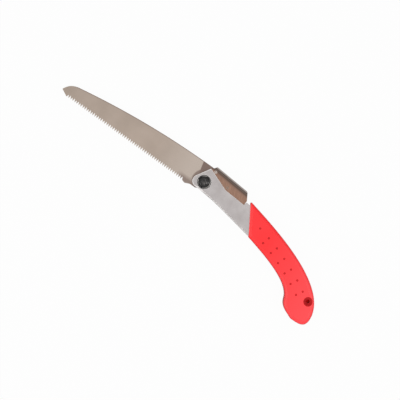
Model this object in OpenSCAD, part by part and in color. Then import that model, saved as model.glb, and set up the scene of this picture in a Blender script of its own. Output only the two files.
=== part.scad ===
// Folding pruning saw: a pull-stroke blade that locks open and folds into a curved, moulded grip.
// The saw lies on its far side. The pivot's axis is the Z axis, +X runs from the pivot to the grip's end,
// +Y to the blade's back and +Z up. Shapes are drawn on the blade's middle plane and lifted to mid_z.

/* [Blade] */
// Number of teeth
tooth_count = 58; // [48:1:58]
// Distance from one tooth to the next
tooth_pitch = 3.1; // [2.8:0.05:3.2]
// Height of a tooth above its gullet
tooth_h = 4.1; // [2.5:0.1:4.4]
// How far a tooth's point leans towards the handle, as a share of the pitch
tooth_lean = 0.16; // [0:0.02:0.3]
// Angle of the bevels filed on alternate sides of the teeth
bevel_angle = 26; // [10:1:32]
// Thickness of the blade
blade_t = 1.4; // [1:0.1:2]
// Depth of the ground flat on each face of the blade
grind_depth = 0.12; // [0.05:0.01:0.3]
// Distance from the pivot's axis to the line of the tooth points
tooth_line = 14; // [12:0.5:14.5]
// Distance from the pivot's axis to the blade's back
back_h = 21.5; // [20:0.5:22]
// Radius of the blade's curved back
back_r = 1080; // [900:20:1400]
// Distance from the pivot's axis to the last tooth
heel_x = 24; // [23:0.5:27]
// Length of the bare slanted edge between the first tooth and the point
nose_l = 9.6; // [8:0.2:12]

/* [Lock] */
// Distance from the pivot's axis to the lock pin
lock_r = 19.06; // [18.8:0.1:19.4]
// Angle of the lock pin round the pivot when the saw is open
lock_angle = 76; // [74:1:78]
// Radius of the lock pin where it crosses the blade
lock_pin_r = 1.5; // [1.2:0.1:1.6]
// Radius of the pins' ends in the lever's walls
pin_end_r = 2; // [1.8:0.1:2.3]
// Height of the tooth that holds the lock pin, above the pin's axis
catch_h = 1.3; // [0.8:0.1:1.6]
// Width of that tooth
catch_w = 2; // [1.6:0.1:2.2]
// Angle through which the blade folds
fold_angle = 161.5; // [160.5:0.1:162]

/* [Pivot] */
// Radius of the pivot screw's shank
screw_r = 3; // [2.5:0.1:3.5]
// Outer radius of the bush that the blade turns on
bush_r = 5; // [4.5:0.1:6]
// Outer radius of the thrust washers
thrust_r = 9; // [8:0.5:10]
// Outer radius of the cup washer under the screw's head
cup_r = 8.8; // [8:0.1:9.2]
// Height of the cup washer's rim
cup_h = 1.7; // [1.2:0.1:2]
// Radius of the screw's head
head_r = 6.3; // [5.5:0.1:6.6]
// Height of the screw's head
head_h = 2.3; // [1.8:0.1:2.5]
// Width across the flats of the nut
nut_flats = 12; // [10:0.5:13]
// Radius of the spot faces milled in the side plates
spot_r = 9.7; // [9.4:0.1:10.5]
// Depth of those spot faces
spot_depth = 0.5; // [0.3:0.1:0.8]

/* [Frame] */
// Thickness of each side plate
plate_t = 3; // [2.5:0.1:3.5]
// Gap between the side plates
frame_gap = 8; // [7:0.1:9]
// Radius of the ear's rounded corner
ear_r = 8; // [7.6:0.1:8.8]
// Length of the ear's slanted front edge
ear_side_l = 20.6; // [19.6:0.1:21.2]
// Tilt of the frame's bowed lower edge where it meets the grip
sole_angle = 9.4; // [8.4:0.1:10]
// Radius of the rounded lower edge of each side plate
sole_round = 2.2; // [1:0.1:2.8]
// Width of the chamfer round the ear
ear_chamfer = 1; // [0.5:0.1:1.5]

/* [Lever] */
// Wall of the lock lever
lever_wall = 1.2; // [0.9:0.1:1.5]
// Distance from the pivot's axis to the lever's hinge, along X
hinge_x = 28.1; // [27:0.1:29]
// Distance from the pivot's axis to the lever's hinge, along Y
hinge_y = 11.3; // [10.5:0.1:12]
// Length of the lever's straight back
lever_back_l = 46.4; // [40:0.5:50]
// Thickness of the core's arm inside the lever
arm_t = 4; // [3:0.1:4.2]
// Radius of the core's boss round the hinge pin
boss_r = 4.9; // [4:0.1:5]
// Radius of the lever spring's wire
wire_r = 0.3; // [0.2:0.05:0.4]
// Outer radius of the lever spring
spring_r = 2; // [1.6:0.1:2.1]
// Number of turns in the lever spring
spring_turns = 6; // [4:1:8]

/* [Grip] */
// Thickness of the grip
grip_t = 20; // [18:0.5:23]
// How far the grip's edges are rounded in from the outline
edge_in = 5.5; // [3:0.5:6]
// How deep the grip's rounded edges are
edge_drop = 4; // [2:0.5:5]
// Width of the bevel along the grip's front edge
front_bevel = 3.4; // [2:0.1:4]
// How deep that bevel is at the front
front_drop = 1.8; // [1:0.1:2.4]
// Grip that covers the side plates' edges
cover_wall = 3; // [2:0.1:4]
// Grip beyond the point of the folded blade
tail_wall = 3.4; // [2.5:0.1:5]
// Radius of the hole to hang the saw by
hang_r = 2.3; // [1.5:0.1:2.6]
// Radius of the funnel at each end of that hole
funnel_r = 5.8; // [4:0.1:6.5]
// Depth of that funnel
funnel_depth = 4.6; // [3:0.1:5]
// Radius of a dimple in the grip
dimple_r = 0.95; // [0.6:0.05:1.2]
// Depth of a dimple
dimple_depth = 0.9; // [0.4:0.1:1.5]
// Radius of the rivets that hold the core
rivet_r = 2.5; // [2:0.1:3]

/* [Fits] */
// Running clearance round the bush and the lever's hinge pin
running_fit = 0.06; // [0.02:0.01:0.1]
// Clearance of the screw in its holes
hole_fit = 0.1; // [0.05:0.05:0.2]
// Gap on each side of the lever
lever_gap = 0.3; // [0.2:0.05:0.5]
// Gap between the blade and each thrust washer
blade_gap = 0.05; // [0.02:0.01:0.1]
// Gap between the folded teeth and the back of the slot
slot_clear = 0.9; // [0.8:0.1:1.2]
// Gap between the lock pin and the sides of its notch
notch_fit = 0.12; // [0.08:0.02:0.2]

/* [Hidden] */
$fn = 96;
eps = 0.01;

mid_z = grip_t / 2;
inner_z = frame_gap / 2;
outer_z = inner_z + plate_t;
seat_z = outer_z - spot_depth;

// ---- Curves ----

function polar(r, a) = [r * cos(a), r * sin(a)];

function turn(p, a) = [p[0] * cos(a) - p[1] * sin(a), p[0] * sin(a) + p[1] * cos(a)];

function arc(c, r, a0, a1, n) = [for (i = [0:n]) c + polar(r, a0 + (a1 - a0) * i / n)];

function bezier(p, t) = pow(1 - t, 3) * p[0] + 3 * pow(1 - t, 2) * t * p[1]
    + 3 * (1 - t) * t * t * p[2] + pow(t, 3) * p[3];

// A curve's points without its last one, so that the next curve starts there.
function curve(p, n) = [for (i = [0:n - 1]) bezier(p, i / n)];

function unit(v) = v / norm(v);

// Outward normal of the edge from a to b on a loop that runs clockwise.
function edge_normal(a, b) = [-(b - a)[1], (b - a)[0]] / norm(b - a);

// A clockwise loop of points, moved in by d.
function inset(pts, d) = let (n = len(pts)) [
    for (i = [0:n - 1]) let (
        n1 = edge_normal(pts[(i + n - 1) % n], pts[i]),
        n2 = edge_normal(pts[i], pts[(i + 1) % n]),
        m = unit(n1 + n2)
    ) pts[i] - m * d / (m * n1)
];

// ---- Blade ----

tip_x = heel_x + tooth_count * tooth_pitch + nose_l;
root_line = tooth_line - tooth_h;
nose_rise = 5.2;
back_mid_x = -4;

function back_y(x) = back_h - back_r + sqrt(back_r * back_r - pow(x - back_mid_x, 2));

nose_start = [15 - tip_x, back_y(15 - tip_x)];
tip = [-tip_x, nose_rise - tooth_line];
nose_curve = [nose_start, nose_start + [-8.6, -2.6], tip + [3.6, 7.2], tip];
back_points = [for (i = [0:40]) let (x = -5 + (nose_start[0] + 5) * i / 40) [x, back_y(x)]];

heel_step = [[-heel_x, -tooth_line], [1.7 - heel_x, -tooth_line - 0.5],
    [4.3 - heel_x, -tooth_line - 1.1], [10.5 - heel_x, 1.6 - tooth_line]];
tang_r = 10.8;

module blade_outline() {
    polygon(concat(
        back_points,
        curve(nose_curve, 14),
        [tip, tip + [0.9, -0.9], [-heel_x - tooth_count * tooth_pitch, -tooth_line]],
        heel_step,
        [polar(tooth_line - 0.7, 247), polar(tang_r - 0.3, 258), [0, 0], polar(back_h, 88)]
    ));
}

// The lock's catch is a tooth between the lock pin's notch and the low round of the tang.
pin_half_angle = (lock_pin_r + notch_fit) / lock_r * 180 / PI;
catch_end = lock_angle - pin_half_angle - catch_w / lock_r * 180 / PI;
notch_r = lock_r - lock_pin_r - 0.3;

module tang_outline() {
    circle(r = tang_r);
    polygon([
        [0, 0],
        polar(tang_r - 0.3, 12),
        polar(notch_r - 0.5, catch_end - 3),
        polar(notch_r, catch_end),
        polar(lock_r + catch_h - 0.5, catch_end),
        polar(lock_r + catch_h, catch_end + 1.2),
        polar(lock_r + catch_h + 0.2, lock_angle),
        polar(lock_r + catch_h + 1, lock_angle + 12),
        [-5, back_y(-5)],
        [-9, 0]
    ]);
}

module lock_notch() {
    rotate(lock_angle - 90) {
        polygon([
            [-lock_pin_r - notch_fit, notch_r],
            [lock_pin_r + notch_fit, notch_r],
            [lock_pin_r + notch_fit, lock_r],
            [lock_pin_r + notch_fit + 0.5, lock_r + 6],
            [-lock_pin_r - notch_fit - 0.5, lock_r + 6],
            [-lock_pin_r - notch_fit, lock_r]
        ]);
    }
}

// The flat left on a tooth's point, the flat between two teeth, and how far the cut runs past the points.
tooth_flat = 0.1;
root_flat = 0.3;
gullet_past = 0.7;

// One gullet: a slanted cut through the blade's edge, so that each tooth gets a bevel on both flanks.
module gullet(side) {
    mouth = tooth_pitch / 2 - tooth_flat / 2;
    root = -tooth_lean * tooth_pitch;
    // The flanks run straight on past the blade's edge, so no corner of the cut lies on it.
    past = 1 + gullet_past / tooth_h;
    rotate([0, side * bevel_angle, 0])
        linear_extrude(height = 4 * blade_t, center = true)
            polygon([
                [root - root_flat / 2 + past * (-mouth - root + root_flat / 2), -tooth_line - gullet_past],
                [root - root_flat / 2, -root_line],
                [root + root_flat / 2, -root_line],
                [root + root_flat / 2 + past * (mouth - root - root_flat / 2), -tooth_line - gullet_past]
            ]);
}

module blade() {
    color([0.70, 0.64, 0.59])
    translate([0, 0, mid_z])
    difference() {
        linear_extrude(height = blade_t, center = true) {
            difference() {
                union() {
                    blade_outline();
                    tang_outline();
                }
                lock_notch();
            }
        }
        cylinder(r = bush_r + running_fit, h = 2 * blade_t, center = true);
        for (i = [0:tooth_count - 1]) {
            translate([-heel_x - (i + 0.5) * tooth_pitch, 0, 0])
                gullet(i % 2 == 0 ? 1 : -1);
        }
        for (s = [0, 1]) {
            mirror([0, 0, s])
                ground_flat();
        }
    }
}

// The face ground along the blade, which ends at a slanted line in front of the tang.
module ground_flat() {
    translate([0, 0, blade_t / 2 - grind_depth])
        linear_extrude(height = 1)
            polygon([
                [-9.5, -4],
                [-16, back_h + 1],
                [-tip_x - 2, back_h + 1],
                [-tip_x - 2, -tooth_line - 4],
                [-14, -tooth_line - 4]
            ]);
}

// ---- Grip outline ----

folded_tip = turn(tip, fold_angle);
tail_x = folded_tip[0] + tail_wall;
grip_top = [61.3, 14.8];
grip_low = [85.6, -23.5];
tail_side = [tail_x, folded_tip[1] - 4];
tail_end = [tail_x - 20.8, tail_side[1] - 12.1];
hook = [tail_x - 42, tail_side[1] + 3.4];

// The outline runs clockwise along the convex edge to the tail's end, and back along the concave edge.
// It starts and ends past the slanted front edge, which is cut afterwards.
long_steps = 24;
round_steps = 9;
top_pull = [92.6, 7.6];
low_pull = [117.8, -30.9];
grip_loop = concat(
    [grip_top - 14 * unit(top_pull - grip_top)],
    curve([grip_top, top_pull, tail_side + [-1.9, 51.9], tail_side], long_steps),
    curve([tail_side, tail_side - [0, 11.6], tail_end + [13, 0], tail_end], round_steps),
    curve([tail_end, tail_end + [-8.4, 3.6], hook + [3.5, -9.9], hook], round_steps),
    curve([hook, hook + [-6.5, 19.6], low_pull, grip_low], long_steps),
    [grip_low, grip_low - 36 * unit(low_pull - grip_low)]
);

hang_at = [tail_x - 15.3, tail_side[1] + 18];

// ---- Frame ----

ear_c = [-6.3, -3];
ear_front_a = 149.2;
ear_low_a = 270;
ear_top = ear_c + polar(ear_r, ear_front_a) + polar(ear_side_l, ear_front_a - 90);
sole_start = ear_c + polar(ear_r, ear_low_a);
// The lower edge bows up between the ear and the grip, in straight stretches that turn little by little.
sole_bends = [[2, sole_start[1]], [22, -12.75], [34, -14.35]];
sole = concat([sole_start], sole_bends, [sole_bends[2] + polar(50.5, -sole_angle)]);
saddle = [27.7, 7.4];
saddle_end = [56.8, 5.8];
shoulder = [59, 10.4];

// The ear's rounded corner, from its slanted front to the lower edge.
ear_arc_steps = 20;
ear_arc = arc(ear_c, ear_r, ear_front_a, ear_low_a, ear_arc_steps);

module plate_outline() {
    polygon(concat(
        [for (i = [ear_arc_steps:-1:0]) ear_arc[i]],
        [ear_top, saddle, saddle_end, shoulder, [72, 9.2], [84, -10]],
        [for (i = [len(sole) - 1:-1:1]) sole[i]]
    ));
    covered_plate();
}

// The part of the side plates inside the grip.
module covered_plate() {
    intersection() {
        polygon(inset(grip_loop, cover_wall));
        translate([64, -100])
            square([hang_at[0] - 64 - 12, 200]);
    }
}

// The space that the folded blade fills, open towards the concave edge of the grip.
module slot_outline() {
    back = -tooth_line - slot_clear;
    rotate(fold_angle)
        polygon([
            [-15, back],
            [-heel_x - tooth_count * tooth_pitch, back],
            tip + [-slot_clear, -0.6],
            tip + [-slot_clear, 3],
            [-tip_x - slot_clear, 60],
            [-15, 60]
        ]);
}

// How far a cutter along an edge runs past each of its ends, and how far its round or ring bites in past
// the faces that it would otherwise just touch.
edge_run = 0.3;
edge_bite = 0.05;
// The rounds along the lower edge get smaller by this much from one stretch to the next.
round_step = 0.12;

// A cutter that rounds the outer edge of a plate from p to q; the plate lies on the left.
module round_edge(p, q, r) {
    d = q - p;
    translate([p[0], p[1], outer_z])
        rotate([0, 0, atan2(d[1], d[0])])
            rotate([90, 0, 90])
                translate([0, 0, -edge_run])
                    linear_extrude(height = norm(d) + 2 * edge_run)
                        difference() {
                            translate([-1, -r])
                                square([r + 1, r + 1]);
                            translate([r - edge_bite, -r])
                                circle(r = r);
                        }
}

// A cutter that takes a chamfer off the same kind of edge.
module chamfer_edge(p, q, w) {
    d = q - p;
    translate([p[0], p[1], outer_z])
        rotate([0, 0, atan2(d[1], d[0])])
            rotate([90, 0, 90])
                translate([0, 0, -w])
                    linear_extrude(height = norm(d) + 2 * w)
                        polygon([[-1, -w - 1], [w + 1, 1], [-1, 1]]);
}

// The chamfer round the ear's corner, past which it runs on by a few degrees.
module ear_chamfer_ring() {
    // The ring reaches in a little further than the straight chamfer, so that the two cross clearly.
    ring_in = ear_r - ear_chamfer - edge_bite;
    ring_out = ear_r + 1.4;
    translate([ear_c[0], ear_c[1], outer_z])
        rotate([0, 0, ear_front_a - 6])
            rotate_extrude(angle = ear_low_a - ear_front_a + 12)
                polygon([[ring_in - 1, 1], [ring_out, ring_in - ring_out], [ring_out, 1]]);
}

module side_plate() {
    difference() {
        translate([0, 0, inner_z])
            linear_extrude(height = plate_t)
                plate_outline();
        cylinder(r = screw_r + hole_fit, h = 2 * outer_z);
        translate([0, 0, seat_z])
            cylinder(r = spot_r, h = 2);
        rivet_places()
            rivet_shape(rivet_r);
        for (i = [0:len(sole) - 2])
            round_edge(sole[i], sole[i + 1], sole_round - round_step * i);
        chamfer_edge(ear_top, ear_arc[0], ear_chamfer);
        ear_chamfer_ring();
        chamfer_edge(saddle, ear_top, 0.4);
        chamfer_edge(saddle_end, saddle, 0.4);
    }
}

module near_side_plate() {
    color([0.74, 0.72, 0.71])
    translate([0, 0, mid_z])
        side_plate();
}

module far_side_plate() {
    color([0.74, 0.72, 0.71])
    translate([0, 0, mid_z])
        mirror([0, 0, 1])
            side_plate();
}

// ---- Core, with the arm that carries the lever ----

core_front = 62;
arm_seat_x = 44;
arm_seat_y = 10.4;

module core_outline() {
    difference() {
        intersection() {
            union() {
                covered_plate();
                polygon([[core_front, 9.6], [core_front, -20], [80, -20], [80, 8]]);
            }
            polygon([[core_front, 40], [core_front, -100], [300, -100], [300, 40]]);
            union() {
                polygon(inset(grip_loop, cover_wall));
                polygon([[core_front, 9.6], [core_front, -20], [80, -20], [70, 9]]);
            }
        }
        slot_outline();
    }
}

module arm_outline() {
    difference() {
        union() {
            translate([hinge_x, hinge_y])
                circle(r = boss_r);
            polygon([
                [hinge_x - 1, hinge_y + boss_r - 0.2],
                [hinge_x + 3.6, hinge_y + boss_r - 2],
                [arm_seat_x - 3, arm_seat_y],
                [arm_seat_x + 3, arm_seat_y],
                [core_front - 4, 6.6],
                [core_front + 4, 5],
                [core_front + 4, -12],
                [hinge_x - 2, hinge_y - 4]
            ]);
        }
        slot_outline();
    }
}

module core() {
    color([0.45, 0.45, 0.46])
    translate([0, 0, mid_z])
    difference() {
        union() {
            linear_extrude(height = frame_gap, center = true)
                core_outline();
            linear_extrude(height = arm_t, center = true)
                arm_outline();
            translate([arm_seat_x, arm_seat_y - 1, 0])
                rotate([-90, 0, 0])
                    cylinder(r = spring_r - 2 * wire_r - 0.2, h = 2.6);
        }
        translate([hinge_x, hinge_y, 0])
            cylinder(r = pin_end_r, h = frame_gap, center = true);
        rivet_places()
            translate([0, 0, -frame_gap])
                cylinder(r = rivet_r, h = 2 * frame_gap);
    }
}

// ---- Rivets through the plates and the core, all under the grip ----

rivets_at = [[76, 0], [112, -8.5], [146, -22]];

module rivet_places() {
    for (p = rivets_at) {
        translate([p[0], p[1], 0])
            children();
    }
}

// Half a countersunk rivet, from the middle plane up to the plate's outer face.
module rivet_shape(r) {
    cylinder(r = r, h = outer_z);
    translate([0, 0, outer_z - 1.2])
        cylinder(r1 = r, r2 = r + 1.2, h = 1.2);
}

module core_rivets() {
    color([0.55, 0.55, 0.56])
    translate([0, 0, mid_z])
    rivet_places() {
        rivet_shape(rivet_r);
        mirror([0, 0, 1])
            rivet_shape(rivet_r);
    }
}

// ---- Grip ----

edge_steps = 4;
edge_rings = [for (i = [edge_steps:-1:0]) let (a = 90 * i / edge_steps)
    [edge_in * (1 - cos(a)), mid_z - edge_drop + edge_drop * sin(a)]];
grip_rings = concat(edge_rings, [for (i = [edge_steps:-1:0]) [edge_rings[i][0], -edge_rings[i][1]]]);

// A closed skin over the outline, with every edge rounded through the rings.
module grip_body() {
    n = len(grip_loop);
    rows = len(grip_rings);
    points = [for (ring = grip_rings) for (p = inset(grip_loop, ring[0])) [p[0], p[1], ring[1]]];
    sides = [for (r = [0:rows - 2]) for (i = [0:n - 1]) let (j = (i + 1) % n)
        [r * n + i, (r + 1) * n + i, (r + 1) * n + j, r * n + j]];
    last = (rows - 1) * n;
    half = (n - 1) / 2;
    near_cap = [for (k = [0:half - 1])
        k == 0 ? [half, half + 1, half - 1] : [half - k, half + k, half + k + 1, half - k - 1]];
    far_cap = [for (face = near_cap) [for (i = [len(face) - 1:-1:0]) last + face[i]]];
    polyhedron(points = points, faces = concat(sides, near_cap, far_cap));
}

// What lies in front of the slanted edge, and the bevel along it.
module grip_front_cut() {
    along = unit(grip_top - grip_low);
    // The cut lies a little inside the outline's two corners, so that neither corner falls on its face.
    front_at = grip_low + 0.2 * [along[1], -along[0]];
    slope = front_drop / front_bevel;
    linear_extrude(height = 2 * grip_t, center = true)
        polygon([front_at + 75 * along, front_at - 30 * along, [0, -60], [0, 40]]);
    for (s = [0, 1]) {
        mirror([0, 0, s])
            translate([front_at[0], front_at[1], mid_z])
                rotate([0, 0, atan2(along[1], along[0])])
                    rotate([90, 0, 90])
                        translate([0, 0, -20])
                            linear_extrude(height = 90)
                                polygon([[1, -front_drop - slope], [1, 1], [-front_bevel - 1 / slope, 1]]);
    }
}

dimple_line = [[90, -10.6], [121.9, -17.2], [151.3, -28.1], [178.1, -43.1]];
dimple_pairs = 6;

function dimple_at(k, side) = let (
    t = k / dimple_pairs,
    p = bezier(dimple_line, t),
    q = bezier(dimple_line, t + 0.01)
) p + side * 4.7 * edge_normal(p, q);

module dimples() {
    for (k = [0:dimple_pairs]) {
        for (side = k == 0 ? [1] : [1, -1]) {
            translate([dimple_at(k, side)[0], dimple_at(k, side)[1], mid_z - dimple_depth])
                cylinder(r1 = dimple_r * 0.6, r2 = dimple_r, h = dimple_depth + eps, $fn = 24);
        }
    }
}

module hang_funnel() {
    translate([hang_at[0], hang_at[1], mid_z - funnel_depth])
        cylinder(r1 = hang_r, r2 = funnel_r, h = funnel_depth);
    translate([hang_at[0], hang_at[1], mid_z - eps])
        cylinder(r = funnel_r, h = 1);
}

module grip() {
    color([0.86, 0.08, 0.08])
    translate([0, 0, mid_z])
    difference() {
        grip_body();
        grip_front_cut();
        linear_extrude(height = 2 * outer_z, center = true) {
            covered_plate();
            plate_outline();
        }
        linear_extrude(height = frame_gap, center = true)
            slot_outline();
        translate([hang_at[0], hang_at[1], 0])
            cylinder(r = hang_r, h = 2 * grip_t, center = true);
        for (s = [0, 1]) {
            mirror([0, 0, s]) {
                hang_funnel();
                dimples();
            }
        }
    }
}

// ---- Pivot ----

module ring(r_out, r_in, h) {
    difference() {
        cylinder(r = r_out, h = h);
        translate([0, 0, -1])
            cylinder(r = r_in, h = h + 2);
    }
}

cup_floor = 0.7;
nut_seat = seat_z + 0.6;
nut_h = mid_z - nut_seat;
wave_t = 0.4;
thrust_t = inner_z - blade_t / 2 - blade_gap;

module pivot_screw() {
    color([0.14, 0.13, 0.13])
    translate([0, 0, mid_z])
    difference() {
        union() {
            translate([0, 0, -mid_z])
                cylinder(r = screw_r, h = mid_z + seat_z + cup_floor);
            translate([0, 0, seat_z + cup_floor])
                rotate_extrude()
                    polygon(concat(
                        [[0, 0], [head_r, 0], [head_r, 0.7]],
                        [for (i = [1:8]) let (a = 90 * i / 8)
                            [head_r - 1.6 + 1.6 * cos(a), 0.7 + (head_h - 1) * sin(a)]],
                        [[0, head_h]]
                    ));
        }
        translate([0, 0, seat_z + cup_floor + head_h])
            for (a = [20, 110]) {
                rotate([0, 0, a])
                    cube([7.2, 1.5, 2 * head_h - 1.2], center = true);
            }
    }
}

module pivot_cup_washer() {
    color([0.12, 0.11, 0.11])
    translate([0, 0, mid_z + seat_z])
    rotate_extrude()
        polygon([
            [screw_r + hole_fit, 0],
            [cup_r - 0.3, 0],
            [cup_r, 0.3],
            [cup_r, cup_h - 0.5],
            [cup_r - 0.6, cup_h],
            [cup_r - 1.1, cup_h],
            [head_r + 0.25, cup_floor + 0.3],
            [head_r + 0.25, cup_floor],
            [screw_r + hole_fit, cup_floor]
        ]);
}

module wave_washer() {
    color([0.5, 0.5, 0.5])
    translate([0, 0, mid_z + inner_z - wave_t])
        ring(thrust_r - 1, bush_r + 0.1, wave_t);
}

module pivot_bush() {
    color([0.6, 0.5, 0.3])
    translate([0, 0, mid_z - inner_z])
        ring(bush_r, screw_r + hole_fit, frame_gap);
}

module near_thrust_washer() {
    color([0.2, 0.2, 0.2])
    translate([0, 0, mid_z + blade_t / 2 + blade_gap])
        ring(thrust_r, bush_r + 0.1, thrust_t - wave_t);
}

module far_thrust_washer() {
    color([0.2, 0.2, 0.2])
    translate([0, 0, mid_z - inner_z])
        ring(thrust_r, bush_r + 0.1, thrust_t);
}

module pivot_lock_washer() {
    color([0.3, 0.3, 0.3])
    translate([0, 0, mid_z - nut_seat])
        ring(cup_r - 1, screw_r + hole_fit, nut_seat - seat_z);
}

module pivot_nut() {
    color([0.15, 0.14, 0.14])
    difference() {
        union() {
            cylinder(d = nut_flats / cos(30), h = nut_h, $fn = 6);
            translate([0, 0, nut_h - 1])
                cylinder(r = cup_r - 0.8, h = 1);
        }
        translate([0, 0, -1])
            cylinder(r = screw_r, h = nut_h + 2);
    }
}

// ---- Lock lever ----

lever_w = frame_gap - 2 * lever_gap;
lever_r = lever_w / 2;
lever_front = [3.2, 25.4];
lever_tilt = -3.8;
lever_corner_r = 4;
lever_inner_r = lever_r - lever_wall;
lock_at = polar(lock_r, lock_angle);

// The back of the lever at a distance x from its front, and the same point in the frame's axes.
function lever_point(x, y) = lever_front + turn([x, y], lever_tilt);

// Clearance beside the core's arm, where the lever's rear end is cut open for it.
arm_fit = 0.3;

// The lever's walls reach this far down between the side plates.
wall_reach = 2.5;
slope = unit(saddle - ear_top);
under_slope = [slope[1], -slope[0]];

// The lever from the side, cut back by its wall at the back and the rear, and open below.
module lever_side(wall) {
    corner = [lever_back_l - lever_corner_r + 4, -lever_corner_r];
    reach = wall_reach + wall * 9;
    polygon(concat(
        [ear_top - 6 * slope + reach * under_slope],
        [lever_point(-8, -wall)],
        [for (p = arc(corner, lever_corner_r - wall, 90, 26, 8)) lever_point(p[0], p[1])],
        [[57.8 - wall, 11.8], saddle_end + [0.4 - wall, -reach], saddle + reach * under_slope]
    ));
}

// A long bar with the lever's U section, along its back.
module lever_section(r, drop) {
    translate([lever_front[0], lever_front[1], 0])
        rotate([0, 0, lever_tilt])
            translate([-20, 0, 0])
                rotate([90, 0, 90])
                    linear_extrude(height = 90) {
                        translate([-drop - r, 0])
                            circle(r = r);
                        translate([-drop - r - 40, -r])
                            square([40, 2 * r]);
                    }
}

module lever_front_cut() {
    linear_extrude(height = 30, center = true)
        polygon([
            [-2.2, 17.9],
            lever_front + [0, 0.2],
            [lever_front[0], 40],
            [-30, 40],
            [-30, 5],
            [-4, 15.2]
        ]);
}

module lock_lever() {
    color([0.62, 0.50, 0.43])
    translate([0, 0, mid_z])
    difference() {
        intersection() {
            linear_extrude(height = lever_w, center = true)
                lever_side(0);
            lever_section(lever_r, 0);
        }
        intersection() {
            linear_extrude(height = lever_w, center = true)
                lever_side(lever_wall);
            lever_section(lever_inner_r, lever_wall);
        }
        lever_front_cut();
        translate([arm_seat_x + 4, -10, -arm_t / 2 - arm_fit])
            cube([20, 24.4, arm_t + 2 * arm_fit]);
        translate([lock_at[0], lock_at[1], 0])
            cylinder(r = pin_end_r, h = 20, center = true);
        translate([hinge_x, hinge_y, 0])
            cylinder(r = pin_end_r + running_fit, h = 20, center = true);
    }
}

// The dished end of a riveted pin.
module pin_dish() {
    translate([0, 0, lever_r - 0.5])
        cylinder(r1 = pin_end_r - 1.2, r2 = pin_end_r - 0.8, h = 0.5 + eps);
}

module lock_pin() {
    color([0.7, 0.65, 0.6])
    translate([lock_at[0], lock_at[1], mid_z])
    difference() {
        union() {
            cylinder(r = lock_pin_r, h = 2 * lever_r, center = true);
            for (s = [0, 1]) {
                mirror([0, 0, s])
                    translate([0, 0, lever_inner_r])
                        cylinder(r = pin_end_r, h = lever_wall);
            }
        }
        for (s = [0, 1]) {
            mirror([0, 0, s])
                pin_dish();
        }
    }
}

module lever_hinge_pin() {
    color([0.7, 0.65, 0.6])
    translate([hinge_x, hinge_y, mid_z])
    difference() {
        cylinder(r = pin_end_r, h = 2 * lever_r, center = true);
        for (s = [0, 1]) {
            mirror([0, 0, s])
                pin_dish();
        }
    }
}

module lever_shims() {
    color([0.6, 0.55, 0.35])
    for (s = [0, 1]) {
        translate([hinge_x, hinge_y, mid_z])
            mirror([0, 0, s])
                translate([0, 0, arm_t / 2])
                    ring(boss_r - 1, pin_end_r + 0.05, lever_inner_r - arm_t / 2 - 0.05);
    }
}

// The coil between the arm and the lever's back, swept as one closed skin.
spring_mean = spring_r - wire_r;
spring_top = lever_point(arm_seat_x - lever_front[0], 0)[1] - lever_wall
    - lever_inner_r + sqrt(pow(lever_inner_r, 2) - pow(spring_r, 2)) - 0.15;
spring_l = spring_top - arm_seat_y;
coil_steps = 14;
wire_sides = 8;

module lever_spring() {
    total = spring_turns * coil_steps;
    points = [for (i = [0:total]) let (
        a = 360 * i / coil_steps,
        y = wire_r + (spring_l - 2 * wire_r) * i / total
    ) for (k = [0:wire_sides - 1]) let (
        b = 360 * k / wire_sides,
        r = spring_mean + wire_r * cos(b)
    ) [r * cos(a), y + wire_r * sin(b), r * sin(a)]];
    sides = [for (i = [0:total - 1]) for (k = [0:wire_sides - 1]) let (m = (k + 1) % wire_sides)
        [i * wire_sides + k, (i + 1) * wire_sides + k, (i + 1) * wire_sides + m, i * wire_sides + m]];
    ends = [[for (k = [0:wire_sides - 1]) k], [for (k = [wire_sides - 1:-1:0]) total * wire_sides + k]];
    color([0.75, 0.75, 0.77])
    translate([arm_seat_x, arm_seat_y, mid_z])
        polyhedron(points = points, faces = concat(sides, ends));
}

near_side_plate();
far_side_plate();
core();
core_rivets();
grip();
pivot_screw();
pivot_cup_washer();
wave_washer();
pivot_bush();
near_thrust_washer();
far_thrust_washer();
pivot_lock_washer();
pivot_nut();
lever_hinge_pin();
lever_shims();
lever_spring();
blade();
lock_lever();
lock_pin();
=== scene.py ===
"""A folding pruning saw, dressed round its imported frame. Lengths are in millimetres until a mesh is made."""
import math

import bmesh
import bpy
from mathutils import Matrix, Vector


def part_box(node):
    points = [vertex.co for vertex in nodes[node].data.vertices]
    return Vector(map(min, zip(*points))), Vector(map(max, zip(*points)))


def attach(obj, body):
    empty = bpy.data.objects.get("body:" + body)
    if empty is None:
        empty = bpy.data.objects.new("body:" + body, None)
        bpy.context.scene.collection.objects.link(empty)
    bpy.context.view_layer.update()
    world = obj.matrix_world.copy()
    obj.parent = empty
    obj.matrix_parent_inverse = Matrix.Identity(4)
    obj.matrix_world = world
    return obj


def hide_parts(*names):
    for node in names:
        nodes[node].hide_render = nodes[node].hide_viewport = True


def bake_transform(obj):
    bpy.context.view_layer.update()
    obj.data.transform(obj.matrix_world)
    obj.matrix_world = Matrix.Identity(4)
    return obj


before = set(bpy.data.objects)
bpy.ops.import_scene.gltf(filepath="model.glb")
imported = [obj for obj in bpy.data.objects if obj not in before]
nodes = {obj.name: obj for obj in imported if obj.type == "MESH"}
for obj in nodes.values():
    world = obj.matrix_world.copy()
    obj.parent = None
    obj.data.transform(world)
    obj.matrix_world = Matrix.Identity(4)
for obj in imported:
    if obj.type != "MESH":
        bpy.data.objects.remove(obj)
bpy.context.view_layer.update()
MM = 0.001

grip_low_corner, grip_high_corner = (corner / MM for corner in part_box("grip"))
MID_Z = (grip_low_corner.z + grip_high_corner.z) / 2
HALF_GRIP = (grip_high_corner.z - grip_low_corner.z) / 2
TAIL_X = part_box("grip")[1].x / MM


# ---- Camera ----

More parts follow.
